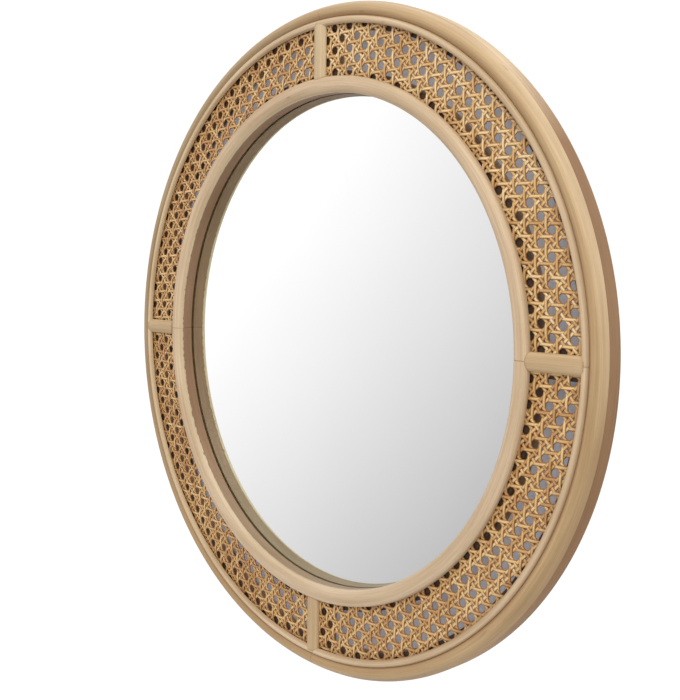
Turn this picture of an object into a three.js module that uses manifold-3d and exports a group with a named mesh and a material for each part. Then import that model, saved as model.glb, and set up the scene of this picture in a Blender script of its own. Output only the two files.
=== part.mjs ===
// Round wall mirror with a border of woven cane, in millimetres.
// The mirror hangs in the XZ plane: +X to the right, +Z up, and the front faces -Y.
// The origin is the centre of the back, on the plane that lies against the wall.
// Radii are measured from the centre, and depths forward from the wall.

import * as THREE from 'three';
import * as BufferGeometryUtils from 'three/addons/utils/BufferGeometryUtils.js';
import Module from 'manifold-3d';

const wasm = await Module();
wasm.setup();

// Clearance between neighbours, how far a cutting shape runs past what it cuts, and the distance
// within which two corners count as one
const GAP = 0.3;
const CUT_REACH = 5.0;
const MERGE_DISTANCE = 1e-4;

// Facets around a full turn, where they show and where they don't
const TURN_STEPS = 56;
const HIDDEN_TURN_STEPS = 48;

// Outer rim: a bent rod with a flat side and a gently domed front
const RIM_RADIUS = 304.8;
const RIM_DEPTH = 22.0;
const RIM_WIDTH = 13.0;
const RIM_SIDE_DEPTH = 14.5;
const RIM_CORNER_WIDTH = 7.5;
const RIM_GROOVE_DROP = 2.2;
const RIM_BACK_EASE = 0.5;
const RIM_CORNER_STEPS = 3;
const RIM_FALL_POWER = 2;
const RIM_FRONT_STEPS = 2;

// Bead: the thin half-round strip along the inside of the rim
const BEAD_WIDTH = 5.4;
const BEAD_CREST_DEPTH = 22.8;
const BEAD_SIDE_HEIGHT = 0.8;
const BEAD_STEPS = 3;

// Woven cane: four flat panels with rows of holes, staggered from row to row
const WEAVE_FRONT_DEPTH = 18.0;
const WEAVE_THICKNESS = 2.0;
const WEAVE_HOLE_WIDTH = 7.4;
const WEAVE_EDGE_MARGIN = 1.5;

// Inner ring: a bent rod whose lip laps over the cane, with a rebate for the glass behind
const RING_LIP_RADIUS = 240.2;
const RING_OPENING_RADIUS = 225.4;
const RING_FLANK_WIDTH = 4.4;
const RING_CREST_DEPTH = 23.4;
const RING_EDGE_DEPTH = 18.4;
const RING_BODY_RADIUS = 233.0;
const RING_REBATE_RADIUS = 230.0;
const RING_WALL_TAPER = 0.8;
const RING_FLANK_STEPS = 3;
const RING_FALL_POWER = 4;
const RING_FRONT_STEPS = 2;

// Mirror glass and the plain board behind it
const GLASS_FRONT_DEPTH = 4.3;
const GLASS_THICKNESS = 2.0;
const BOARD_THICKNESS = 2.0;

// Half-round rods that cross the cane
const SPOKE_WIDTH = 14.8;
const SPOKE_HEIGHT = 4.8;
const SPOKE_STEPS = 8;
const SPOKE_TURNS = { right: 0, top: 90, left: 180, bottom: 270 };

// Frame behind the cane: a wide hoop inside the rim, one round the glass, and a bar behind each rod
const WIDE_HOOP_INNER_RADIUS = 280.0;
const SMALL_HOOP_OUTER_RADIUS = 245.0;
const BAR_WIDTH = 24.0;

// Places that follow from the sizes above
const RIM_INNER_RADIUS = RIM_RADIUS - RIM_WIDTH;
const RIM_CREST_RADIUS = RIM_RADIUS - RIM_CORNER_WIDTH;
const BEAD_OUTER_RADIUS = RIM_INNER_RADIUS - GAP;
const BEAD_INNER_RADIUS = BEAD_OUTER_RADIUS - BEAD_WIDTH;
const BEAD_CREST_RADIUS = (BEAD_INNER_RADIUS + BEAD_OUTER_RADIUS) / 2;
const RING_CREST_RADIUS = RING_LIP_RADIUS - RING_FLANK_WIDTH;
const WEAVE_BACK_DEPTH = WEAVE_FRONT_DEPTH - WEAVE_THICKNESS;
const HIDDEN_OUTER_RADIUS = RIM_INNER_RADIUS - 2 * GAP;
const HIDDEN_INNER_RADIUS = RING_BODY_RADIUS + 2 * GAP;
const GLASS_RADIUS = RING_REBATE_RADIUS - GAP;
const BOARD_RADIUS = RING_REBATE_RADIUS - 2 * GAP;
const GLASS_BACK_DEPTH = GLASS_FRONT_DEPTH - GLASS_THICKNESS;

// Each cane panel was cut and stretched on its own, so its rows run at a slightly different tilt.
// across and up are half the spacing of the holes along a row and between every second row;
// rowTilt and columnLean are degrees, counter-clockwise; hole is the centre of one hole.
const WEAVE_PANELS = {
  top_right: {
    turn: 0, across: 9.73, up: 9.83, rowTilt: -2.0, columnLean: 1.7, hole: [194.6, 197.0],
  },
  top_left: {
    turn: 90, across: 9.77, up: 9.76, rowTilt: 2.1, columnLean: -2.1, hole: [-188.6, 193.3],
  },
  bottom_left: {
    turn: 180, across: 9.55, up: 9.86, rowTilt: -2.0, columnLean: 2.3, hole: [-176.2, -174.7],
  },
  bottom_right: {
    turn: 270, across: 9.6, up: 9.68, rowTilt: 1.4, columnLean: -3.8, hole: [180.5, -178.2],
  },
};

const MATERIALS = {
  rimWood: new THREE.MeshStandardMaterial({ color: '#cfae80', roughness: 0.55, metalness: 0 }),
  beadWood: new THREE.MeshStandardMaterial({ color: '#d9b893', roughness: 0.55, metalness: 0 }),
  ringWood: new THREE.MeshStandardMaterial({ color: '#d3b389', roughness: 0.55, metalness: 0 }),
  spokeWood: new THREE.MeshStandardMaterial({ color: '#c9a97c', roughness: 0.55, metalness: 0 }),
  cane: new THREE.MeshStandardMaterial({ color: '#d2a266', roughness: 0.6, metalness: 0 }),
  frameWood: new THREE.MeshStandardMaterial({ color: '#a9875f', roughness: 0.8, metalness: 0 }),
  mirrorGlass: new THREE.MeshStandardMaterial({ color: '#e4e7ea', roughness: 0.03, metalness: 1 }),
  board: new THREE.MeshStandardMaterial({ color: '#8a6a48', roughness: 0.9, metalness: 0 }),
};

const degrees = (value) => THREE.MathUtils.degToRad(value);

// Points of an elliptical arc, as [radius, depth] pairs, from one angle to the other in degrees
function arcPoints(centre, radii, from, to, steps) {
  const points = [];
  for (let i = 0; i <= steps; i += 1) {
    const angle = degrees(from + ((to - from) * i) / steps);
    points.push([centre[0] + radii[0] * Math.cos(angle), centre[1] + radii[1] * Math.sin(angle)]);
  }
  return points;
}

// Points of a front that falls away from a crest. A high power keeps it flat for longer and then
// turns it down quickly. The points lie closer together where it falls faster.
function fallPoints(crest, end, power, steps) {
  const points = [];
  for (let i = 1; i <= steps; i += 1) {
    const t = Math.sqrt(i / steps);
    points.push([
      THREE.MathUtils.lerp(crest[0], end[0], t),
      THREE.MathUtils.lerp(crest[1], end[1], t ** power),
    ]);
  }
  return points;
}

// A solid to cut or join, from a closed mesh whose shared corners are merged by position alone
function toSolid(geometry) {
  const bare = geometry.clone();
  bare.deleteAttribute('normal');
  bare.deleteAttribute('uv');
  const merged = BufferGeometryUtils.mergeVertices(bare, MERGE_DISTANCE);
  const mesh = new wasm.Mesh({
    numProp: 3,
    vertProperties: new Float32Array(merged.attributes.position.array),
    triVerts: new Uint32Array(merged.index.array),
  });
  return new wasm.Manifold(mesh);
}

function toGeometry(solid) {
  const mesh = solid.getMesh();
  const geometry = new THREE.BufferGeometry();
  geometry.setAttribute('position', new THREE.Float32BufferAttribute(mesh.vertProperties, 3));
  geometry.setIndex(new THREE.Uint32BufferAttribute(mesh.triVerts, 1));
  geometry.computeVertexNormals();
  return geometry;
}

// Turns a shape made in radius and depth so that its axis runs along +Y and its front faces -Y
function faceForward(geometry) {
  return geometry.rotateX(degrees(180));
}

// A full ring of a closed section, given as [radius, depth] pairs in order from the back outwards
function fullRing(section, steps) {
  const profile = section.map(([radius, depth]) => new THREE.Vector2(radius, depth));
  profile.push(profile[0].clone());
  return faceForward(new THREE.LatheGeometry(profile, steps));
}

function fullDisc(radius, backDepth, frontDepth, steps) {
  const profile = [
    new THREE.Vector2(0, backDepth),
    new THREE.Vector2(radius, backDepth),
    new THREE.Vector2(radius, frontDepth),
    new THREE.Vector2(0, frontDepth),
  ];
  return faceForward(new THREE.LatheGeometry(profile, steps));
}

// A box that lies on one radius: its length runs outwards, its width across and its height forward
function radialBox(innerEnd, outerEnd, width, backDepth, frontDepth, turn) {
  const box = new THREE.BoxGeometry(outerEnd - innerEnd, frontDepth - backDepth, width);
  box.translate((innerEnd + outerEnd) / 2, -(backDepth + frontDepth) / 2, 0);
  return box.rotateY(-degrees(turn));
}

// A ring with saw cuts where its bent lengths meet end to end
function sawnRing(section, turns) {
  let ring = toSolid(fullRing(section, TURN_STEPS));
  const innerEnd = RING_OPENING_RADIUS - CUT_REACH;
  const outerEnd = RIM_RADIUS + CUT_REACH;
  for (const turn of turns) {
    const cut = radialBox(innerEnd, outerEnd, GAP, -CUT_REACH, RING_CREST_DEPTH + CUT_REACH, turn);
    ring = ring.subtract(toSolid(cut));
  }
  return ring;
}

// The half of a sawn ring that lies on one side of the centre
function halfOf(ring, turn) {
  const reach = RIM_RADIUS + CUT_REACH;
  const side = new THREE.BoxGeometry(reach, reach, 2 * reach);
  side.translate(reach / 2, 0, 0);
  side.rotateY(-degrees(turn));
  return toGeometry(ring.intersect(toSolid(side)));
}

function rimSection() {
  const corner = [RIM_CREST_RADIUS, RIM_SIDE_DEPTH];
  const cornerReach = [RIM_CORNER_WIDTH, RIM_DEPTH - RIM_SIDE_DEPTH];
  const crest = [RIM_CREST_RADIUS, RIM_DEPTH];
  const groove = [RIM_INNER_RADIUS, RIM_DEPTH - RIM_GROOVE_DROP];
  return [
    [RIM_INNER_RADIUS, 0],
    [RIM_RADIUS - RIM_BACK_EASE, 0],
    [RIM_RADIUS, RIM_BACK_EASE],
    ...arcPoints(corner, cornerReach, 0, 90, RIM_CORNER_STEPS),
    ...fallPoints(crest, groove, RIM_FALL_POWER, RIM_FRONT_STEPS),
  ];
}

function beadSection() {
  const shoulder = WEAVE_FRONT_DEPTH + BEAD_SIDE_HEIGHT;
  const domeReach = [BEAD_WIDTH / 2, BEAD_CREST_DEPTH - shoulder];
  return [
    [BEAD_INNER_RADIUS, WEAVE_FRONT_DEPTH],
    [BEAD_OUTER_RADIUS, WEAVE_FRONT_DEPTH],
    ...arcPoints([BEAD_CREST_RADIUS, shoulder], domeReach, 0, 180, BEAD_STEPS),
  ];
}

function ringSection() {
  const flank = [RING_CREST_RADIUS, WEAVE_FRONT_DEPTH];
  const flankReach = [RING_FLANK_WIDTH, RING_CREST_DEPTH - WEAVE_FRONT_DEPTH];
  const crest = [RING_CREST_RADIUS, RING_CREST_DEPTH];
  const edge = [RING_OPENING_RADIUS, RING_EDGE_DEPTH];
  return [
    [RING_REBATE_RADIUS, 0],
    [RING_BODY_RADIUS, 0],
    [RING_BODY_RADIUS, WEAVE_FRONT_DEPTH],
    ...arcPoints(flank, flankReach, 0, 90, RING_FLANK_STEPS),
    ...fallPoints(crest, edge, RING_FALL_POWER, RING_FRONT_STEPS),
    [RING_OPENING_RADIUS + RING_WALL_TAPER, GLASS_FRONT_DEPTH],
    [RING_REBATE_RADIUS, GLASS_FRONT_DEPTH],
  ];
}

function hoopSection(innerRadius, outerRadius) {
  return [
    [innerRadius, 0],
    [outerRadius, 0],
    [outerRadius, WEAVE_BACK_DEPTH],
    [innerRadius, WEAVE_BACK_DEPTH],
  ];
}

// A ring grown by the clearance, to cut the seat of a rod or bar that ends at it.
// What lies no further forward than floorDepth grows backwards, and the rest forwards.
function seatSolid(section, floorDepth, steps) {
  const radii = section.map((point) => point[0]);
  const middleRadius = (Math.min(...radii) + Math.max(...radii)) / 2;
  const grown = section.map(([radius, depth]) => [
    radius + Math.sign(radius - middleRadius) * GAP,
    depth > floorDepth ? depth + GAP : depth - GAP,
  ]);
  return toSolid(fullRing(grown, steps));
}

// Half-round rod along one radius, with both ends scribed to the bead and to the inner ring
function spokeGeometry(turn) {
  const outline = new THREE.Shape();
  outline.moveTo(-SPOKE_WIDTH / 2, 0);
  for (const [x, y] of arcPoints([0, 0], [SPOKE_WIDTH / 2, SPOKE_HEIGHT], 180, 0, SPOKE_STEPS)) {
    outline.lineTo(x, y);
  }
  const length = BEAD_CREST_RADIUS - RING_CREST_RADIUS;
  const rod = new THREE.ExtrudeGeometry(outline, { depth: length, bevelEnabled: false, steps: 1 });
  // From length along +Z and height along +Y to length along +X and height along -Y
  rod.rotateY(degrees(90));
  rod.rotateX(degrees(180));
  rod.translate(RING_CREST_RADIUS, -WEAVE_FRONT_DEPTH, 0);
  rod.rotateY(-degrees(turn));
  const beadSeat = seatSolid(beadSection(), WEAVE_FRONT_DEPTH, TURN_STEPS);
  const ringSeat = seatSolid(ringSection(), WEAVE_FRONT_DEPTH, TURN_STEPS);
  return toGeometry(toSolid(rod).subtract(beadSeat).subtract(ringSeat));
}

// Centres of a panel's holes that lie clear of its edges
function panelHoles(panel) {
  const row = [Math.cos(degrees(panel.rowTilt)), Math.sin(degrees(panel.rowTilt))];
  const column = [-Math.sin(degrees(panel.columnLean)), Math.cos(degrees(panel.columnLean))];
  const reach = Math.ceil(RIM_RADIUS / panel.across);
  const nearest = RING_LIP_RADIUS + WEAVE_HOLE_WIDTH / 2 + WEAVE_EDGE_MARGIN;
  const farthest = BEAD_INNER_RADIUS - WEAVE_HOLE_WIDTH / 2 - WEAVE_EDGE_MARGIN;
  const middle = degrees(panel.turn + 45);
  const holes = [];
  for (let i = -reach; i <= reach; i += 1) {
    for (let j = -reach; j <= reach; j += 1) {
      const x = panel.hole[0] + i * panel.across * row[0] + j * panel.up * column[0];
      const z = panel.hole[1] + i * panel.across * row[1] + j * panel.up * column[1];
      const radius = Math.hypot(x, z);
      const inQuarter = x * Math.cos(middle) > 0 && z * Math.sin(middle) > 0;
      const besideSpoke = Math.min(Math.abs(x), Math.abs(z)) < (SPOKE_WIDTH + WEAVE_HOLE_WIDTH) / 2;
      if ((i + j) % 2 === 0 && inQuarter && !besideSpoke && radius > nearest && radius < farthest) {
        holes.push([x, z]);
      }
    }
  }
  return holes;
}

// Points along one quarter of a circle that stops short of both centre lines by the clearance
function quarterArc(radius, turn) {
  const margin = Math.asin(GAP / radius);
  const sweep = Math.PI / 2 - 2 * margin;
  const steps = TURN_STEPS / 4;
  const points = [];
  for (let step = 0; step <= steps; step += 1) {
    const angle = degrees(turn) + margin + (sweep * step) / steps;
    points.push(new THREE.Vector2(radius * Math.cos(angle), radius * Math.sin(angle)));
  }
  return points;
}

// The outline of one hole, with its four corners where the single strands cross
function holePath(x, z) {
  const corners = [[1, 0], [0, 1], [-1, 0], [0, -1]].map(
    ([across, up]) =>
      new THREE.Vector2(x + (across * WEAVE_HOLE_WIDTH) / 2, z + (up * WEAVE_HOLE_WIDTH) / 2),
  );
  return new THREE.Path(corners);
}

// One quarter of the cane border: a flat plate with its rows of holes
function weaveGeometry(panel) {
  const outerEdge = quarterArc(BEAD_OUTER_RADIUS, panel.turn);
  const innerEdge = quarterArc(HIDDEN_INNER_RADIUS, panel.turn).reverse();
  const outline = new THREE.Shape([...outerEdge, ...innerEdge]);
  outline.holes = panelHoles(panel).map(([x, z]) => holePath(x, z));
  const plate = new THREE.ExtrudeGeometry(outline, {
    depth: WEAVE_THICKNESS,
    bevelEnabled: false,
    steps: 1,
  });
  // The outline's second axis becomes +Z, and its thickness runs forward from the back face
  plate.rotateX(degrees(90));
  plate.translate(0, -WEAVE_BACK_DEPTH, 0);
  return plate;
}

// One bar of the frame behind the cane, with its ends cut to fit the two hoops
function backBarGeometry(turn, wideHoop, smallHoop) {
  const innerEnd = SMALL_HOOP_OUTER_RADIUS - CUT_REACH;
  const outerEnd = WIDE_HOOP_INNER_RADIUS + CUT_REACH;
  const bar = toSolid(radialBox(innerEnd, outerEnd, BAR_WIDTH, 0, WEAVE_BACK_DEPTH, turn));
  const wideSeat = seatSolid(wideHoop, 0, HIDDEN_TURN_STEPS);
  const smallSeat = seatSolid(smallHoop, 0, HIDDEN_TURN_STEPS);
  return toGeometry(bar.subtract(wideSeat).subtract(smallSeat));
}

const mirror = new THREE.Group();

function addPiece(name, geometry, material) {
  const mesh = new THREE.Mesh(geometry, material.clone());
  mesh.name = name;
  mirror.add(mesh);
}

const rim = sawnRing(rimSection(), [90, 270]);
addPiece('outer_rim_right', halfOf(rim, 0), MATERIALS.rimWood);
addPiece('outer_rim_left', halfOf(rim, 180), MATERIALS.rimWood);

addPiece('bead', toGeometry(sawnRing(beadSection(), [0])), MATERIALS.beadWood);

const innerRing = sawnRing(ringSection(), [0, 180]);
addPiece('inner_ring_upper', halfOf(innerRing, 90), MATERIALS.ringWood);
addPiece('inner_ring_lower', halfOf(innerRing, 270), MATERIALS.ringWood);

for (const [place, turn] of Object.entries(SPOKE_TURNS)) {
  addPiece(`spoke_${place}`, spokeGeometry(turn), MATERIALS.spokeWood);
}

for (const [place, panel] of Object.entries(WEAVE_PANELS)) {
  addPiece(`cane_panel_${place}`, weaveGeometry(panel), MATERIALS.cane);
}

const wideHoop = hoopSection(WIDE_HOOP_INNER_RADIUS, HIDDEN_OUTER_RADIUS);
const smallHoop = hoopSection(HIDDEN_INNER_RADIUS, SMALL_HOOP_OUTER_RADIUS);
addPiece('back_hoop_outer', fullRing(wideHoop, HIDDEN_TURN_STEPS), MATERIALS.frameWood);
addPiece('back_hoop_inner', fullRing(smallHoop, HIDDEN_TURN_STEPS), MATERIALS.frameWood);
for (const [place, turn] of Object.entries(SPOKE_TURNS)) {
  addPiece(`back_bar_${place}`, backBarGeometry(turn, wideHoop, smallHoop), MATERIALS.frameWood);
}

const glass = fullDisc(GLASS_RADIUS, GLASS_BACK_DEPTH, GLASS_FRONT_DEPTH, TURN_STEPS);
addPiece('mirror_glass', glass, MATERIALS.mirrorGlass);
addPiece('back_board', fullDisc(BOARD_RADIUS, 0, BOARD_THICKNESS, HIDDEN_TURN_STEPS), MATERIALS.board);

export default mirror;
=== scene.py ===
# %% [markdown]
# # A round mirror with a woven cane border
#
# The mirror is made of bent rods, four panels of woven cane, and a glass set back behind them.
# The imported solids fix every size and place. This lesson dresses them: it bends smooth rods with
# their grain and their joints, weaves the cane strand by strand, and lights the result.
# Everything is in metres. The mirror stands in the XZ plane, its front faces -Y, and the origin
# is the centre of its back, on the plane of the wall.

# %% Load the solids
import math

import bmesh
import bpy
from mathutils import Matrix, Vector, noise


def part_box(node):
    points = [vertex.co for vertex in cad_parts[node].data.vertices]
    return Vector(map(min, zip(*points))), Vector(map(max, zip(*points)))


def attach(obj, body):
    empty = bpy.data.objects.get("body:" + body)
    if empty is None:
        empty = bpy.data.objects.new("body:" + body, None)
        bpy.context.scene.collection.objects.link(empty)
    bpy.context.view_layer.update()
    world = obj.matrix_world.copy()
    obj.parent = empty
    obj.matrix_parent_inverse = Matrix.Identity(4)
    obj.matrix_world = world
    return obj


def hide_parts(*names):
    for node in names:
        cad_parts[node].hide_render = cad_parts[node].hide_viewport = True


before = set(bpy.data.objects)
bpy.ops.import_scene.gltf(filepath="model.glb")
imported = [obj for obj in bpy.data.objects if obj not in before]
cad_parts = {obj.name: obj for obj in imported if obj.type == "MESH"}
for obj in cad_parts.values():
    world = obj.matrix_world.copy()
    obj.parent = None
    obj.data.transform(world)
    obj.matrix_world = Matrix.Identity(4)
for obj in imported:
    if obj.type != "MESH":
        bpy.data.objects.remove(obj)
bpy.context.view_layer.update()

BODY = "root"
MM = 0.001


def in_mm(lengths):
    return [round(length / MM, 1) for length in lengths]


print("nodes:", len(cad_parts))

# %% [markdown]
# ## Sizes
#
# Every size that a solid's box can give is read from the frame, so the dressing can't drift
# away from it. Depths are counted forward from the wall. The few sizes that a box can't show,
# such as where a rounded front has its crest, are named here as well.

# %% Sizes from the frame
def node_radius(node):
    """How far a ring or disc reaches from the centre, measured upwards or downwards"""
    low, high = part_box(node)
    return max(abs(low.z), abs(high.z))


def node_depths(node):
    """Where a node starts and ends in front of the wall"""
    low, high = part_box(node)
    return -high.y, -low.y


RIM_RADIUS = node_radius("outer_rim_right")
RIM_DEPTH = node_depths("outer_rim_right")[1]
BEAD_OUTER_RADIUS = node_radius("bead")
WEAVE_FRONT_DEPTH, BEAD_CREST_DEPTH = node_depths("bead")
RING_LIP_RADIUS = node_radius("inner_ring_upper")
RING_CREST_DEPTH = node_depths("inner_ring_upper")[1]
WEAVE_BACK_DEPTH = node_depths("cane_panel_top_right")[0]
GLASS_FRONT_DEPTH = node_depths("mirror_glass")[1]
SPOKE_WIDTH = 2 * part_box("spoke_right")[1].z
SPOKE_HEIGHT = node_depths("spoke_right")[1] - WEAVE_FRONT_DEPTH
WIDE_HOOP_OUTER_RADIUS = node_radius("back_hoop_outer")
SMALL_HOOP_OUTER_RADIUS = node_radius("back_hoop_inner")
BAR_WIDTH = 2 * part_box("back_bar_right")[1].z
print("radii of the rim, the bead and the ring:", in_mm((RIM_RADIUS, BEAD_OUTER_RADIUS, RING_LIP_RADIUS)))
print("width and height of a rod:", in_mm((SPOKE_WIDTH, SPOKE_HEIGHT)))

# %% Sizes that a box can't show
RIM_INNER_RADIUS = RIM_RADIUS - 13.0 * MM
RIM_CORNER_REACH = 7.5 * MM
RIM_SIDE_DEPTH = 14.5 * MM
RIM_GROOVE_DEPTH = RIM_DEPTH - 2.2 * MM
RIM_GROOVE_FOOT = 12.0 * MM
BEAD_WIDTH = 5.4 * MM
BEAD_SHOULDER_DEPTH = WEAVE_FRONT_DEPTH + 0.8 * MM
BEAD_OUTER_SHOULDER = RIM_GROOVE_DEPTH - 0.5 * MM
BEAD_INNER_RADIUS = BEAD_OUTER_RADIUS - BEAD_WIDTH
BEAD_MIDDLE_RADIUS = BEAD_OUTER_RADIUS - BEAD_WIDTH / 2
RING_FLANK_REACH = 4.4 * MM
RING_CREST_RADIUS = RING_LIP_RADIUS - RING_FLANK_REACH
RING_OPENING_RADIUS = 225.4 * MM
RING_EDGE_DEPTH = 18.4 * MM
RING_WALL_TAPER = 0.8 * MM
RING_CAP_DEPTH = 16.8 * MM
RING_BODY_RADIUS = 233.0 * MM
RING_REBATE_RADIUS = 230.0 * MM
WIDE_HOOP_INNER_RADIUS = 281.8 * MM
SMALL_HOOP_INNER_RADIUS = 233.6 * MM

# %% [markdown]
# ## Helpers for nodes
#
# Materials and Geometry Nodes are both trees of nodes. Small helpers keep them readable: one
# adds a node with its settings, one feeds a socket with either a number or a link, and the
# others add the nodes that are needed again and again.

# %% Node helpers
def add_node(tree, kind, **settings):
    node = tree.nodes.new(kind)
    for name, value in settings.items():
        setattr(node, name, value)
    return node


def feed(tree, socket, value):
    """Links a socket to another one, or sets its value"""
    if isinstance(value, bpy.types.NodeSocket):
        tree.links.new(value, socket)
    else:
        socket.default_value = value


def calc(tree, operation, *values):
    """One Math node, and its result"""
    node = add_node(tree, "ShaderNodeMath", operation=operation)
    for socket, value in zip(node.inputs, values):
        feed(tree, socket, value)
    return node.outputs[0]


def vector_calc(tree, operation, *values):
    """One Vector Math node, and its result, which is a number for a length or a dot product"""
    node = add_node(tree, "ShaderNodeVectorMath", operation=operation)
    sockets = [node.inputs[0], node.inputs["Scale"]] if operation == "SCALE" else node.inputs
    for socket, value in zip(sockets, values):
        feed(tree, socket, value)
    return node.outputs["Value" if operation in ("LENGTH", "DOT_PRODUCT") else "Vector"]


def split(tree, vector):
    """The three coordinates of a vector"""
    node = add_node(tree, "ShaderNodeSeparateXYZ")
    feed(tree, node.inputs[0], vector)
    return node.outputs


def combine(tree, *coordinates):
    """A vector from its coordinates, where those that aren't given are zero"""
    node = add_node(tree, "ShaderNodeCombineXYZ")
    for socket, value in zip(node.inputs, coordinates):
        feed(tree, socket, value)
    return node.outputs[0]


# %% Material helpers
WHITE = (1.0, 1.0, 1.0, 1)


def new_material(name, settings):
    """A material with its tree and its Principled shader, whose sockets are set by name"""
    material = bpy.data.materials.new(name)
    material.use_nodes = True
    tree = material.node_tree
    shader = tree.nodes["Principled BSDF"]
    for socket, value in settings.items():
        shader.inputs[socket].default_value = value
    return material, tree, shader


def map_range(tree, value, from_min, from_max, to_min=0.0, to_max=1.0):
    node = add_node(tree, "ShaderNodeMapRange")
    feed(tree, node.inputs["Value"], value)
    limits = {"From Min": from_min, "From Max": from_max, "To Min": to_min, "To Max": to_max}
    for name, number in limits.items():
        node.inputs[name].default_value = number
    return node.outputs[0]


def noise_node(tree, vector, scale=1.0, detail=3.0, roughness=0.5):
    """Noise that stays inside 0 to 1, on the given coordinates"""
    node = add_node(tree, "ShaderNodeTexNoise")
    feed(tree, node.inputs["Vector"], vector)
    node.inputs["Scale"].default_value = scale
    node.inputs["Detail"].default_value = detail
    node.inputs["Roughness"].default_value = roughness
    return node.outputs["Fac"]


def mix_colours(tree, factor, first, second, blend="MIX"):
    node = add_node(tree, "ShaderNodeMix", data_type="RGBA", blend_type=blend)
    for number, value in ((0, factor), (6, first), (7, second)):
        feed(tree, node.inputs[number], value)
    return node.outputs[2]


def multiply(tree, share, first, second):
    return mix_colours(tree, share, first, second, "MULTIPLY")


def ramp(tree, factor, *stops):
    """A colour ramp through (position, colour) stops"""
    node = add_node(tree, "ShaderNodeValToRGB")
    elements = node.color_ramp.elements
    while len(elements) < len(stops):
        elements.new(1.0)
    for element, (position, colour) in zip(elements, stops):
        element.position = position
        element.color = colour
    feed(tree, node.inputs[0], factor)
    return node.outputs[0]


def bump(tree, shader, height, distance, strength):
    node = add_node(tree, "ShaderNodeBump")
    node.inputs["Strength"].default_value = strength
    node.inputs["Distance"].default_value = distance
    feed(tree, node.inputs["Height"], height)
    feed(tree, shader.inputs["Normal"], node.outputs[0])


# %% Where a point of the surface lies
def attribute(tree, name):
    """A number that is stored on the points of the mesh"""
    return add_node(tree, "ShaderNodeAttribute", attribute_name=name).outputs["Fac"]


def object_place(tree):
    return add_node(tree, "ShaderNodeTexCoord").outputs["Object"]


def object_axis(tree, axis):
    """One coordinate of the object, in metres"""
    return split(tree, object_place(tree))[axis]


def centre_distance(tree):
    """How far a point lies from the middle of the mirror, seen from the front"""
    return vector_calc(tree, "LENGTH", vector_calc(tree, "MULTIPLY", object_place(tree), (1.0, 0.0, 1.0)))


# %% [markdown]
# ## Rattan
#
# The rods are peeled rattan under a satin lacquer. Rattan has no rings, only fine pores and
# fibres that run along the rod, so the pattern has to follow the bend. Each rod carries a UV map
# in metres, with U along the rod and V around its section. Noise that is stretched along U gives
# the fibres and the bands, slower noise gives the cloudy patches, and the highest peaks of one
# more noise give a few small knots.
#
# Two attributes are painted when a rod is made. The first is painted shade in the grooves, in
# recesses and where the rod meets other parts, together with dark stains at the joints where two
# rods meet end to end. The other is named cut, and marks the side where the skin was sliced off
# and the bare wood shows. Each kind of rod has a second tone towards one side of the mirror,
# which is painted light and shade for how the light falls there. The bare wood has two colours,
# and the outer corner of the rim has a painted highlight above and painted shade below.

# %% Grain of a rod
UV_NAME = "grain"
SHADE_AND_STAIN_NAME = "stain"
CUT_NAME = "cut"


def grain_noise(tree, along, across, detail, roughness=0.5):
    """Noise on the UV map of a rod, stretched by its number of waves a metre each way"""
    place = add_node(tree, "ShaderNodeMapping")
    feed(tree, place.inputs["Vector"], add_node(tree, "ShaderNodeUVMap", uv_map=UV_NAME).outputs[0])
    place.inputs["Scale"].default_value = (along, across, 1.0)
    return noise_node(tree, place.outputs[0], detail=detail, roughness=roughness)


def peeled_skin(tree, base, streaks, pores):
    """The tone of the skin, darkened by its bands, fibres, pores and knots"""
    bands = grain_noise(tree, 3.5, 230.0, detail=3.0, roughness=0.6)
    knots = grain_noise(tree, 34.0, 110.0, detail=1.0)
    layers = (
        (0.9, ramp(tree, bands, (0.34, (0.80, 0.77, 0.70, 1)), (0.62, WHITE))),
        (0.7, ramp(tree, streaks, (0.36, (0.82, 0.77, 0.71, 1)), (0.60, WHITE))),
        (0.5, ramp(tree, pores, (0.30, (0.82, 0.76, 0.68, 1)), (0.42, WHITE))),
        (1.0, ramp(tree, knots, (0.76, WHITE), (0.84, (0.70, 0.70, 0.68, 1)))),
    )
    skin = base
    for share, layer in layers:
        skin = multiply(tree, share, skin, layer)
    return skin


# %% Tones that change round the mirror
# The rim's outer corner: a painted highlight in its upper half and painted shade in its lower half
CORNER_HIGHLIGHT_COLOUR = (0.78, 0.62, 0.43, 1)
CORNER_SHADE_COLOUR = (0.33, 0.20, 0.10, 1)
CORNER_LIGHT_SHARE = 0.55
# How far toward its side, in metres, a second tone of painted light and shade starts and is full
SIDE_SHADING_START = 0.20
SIDE_SHADING_END = 0.38


def side_shading_share(tree, patches, side_shading_turn):
    """Painted light and shade: 0 on most of the mirror, and 1 on the side that the given turn points to, in
    degrees
    """
    turn = math.radians(side_shading_turn)
    toward = vector_calc(tree, "DOT_PRODUCT", object_place(tree), (math.cos(turn), 0.0, math.sin(turn)))
    return map_range(tree, calc(tree, "MULTIPLY_ADD", patches, 0.3, toward), SIDE_SHADING_START, SIDE_SHADING_END)


def corner_tone(tree, base):
    """The outer corner of the rim, with a painted highlight in its upper half and painted shade in its lower
    half
    """
    radius = centre_distance(tree)
    at_corner = map_range(tree, radius, RIM_RADIUS - 6.0 * MM, RIM_RADIUS - 1.0 * MM, 0.0, CORNER_LIGHT_SHARE)
    upper_half = map_range(tree, object_axis(tree, "Z"), -0.06, 0.06)
    return mix_colours(tree, at_corner, base, mix_colours(tree, upper_half, CORNER_SHADE_COLOUR, CORNER_HIGHLIGHT_COLOUR))


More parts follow.
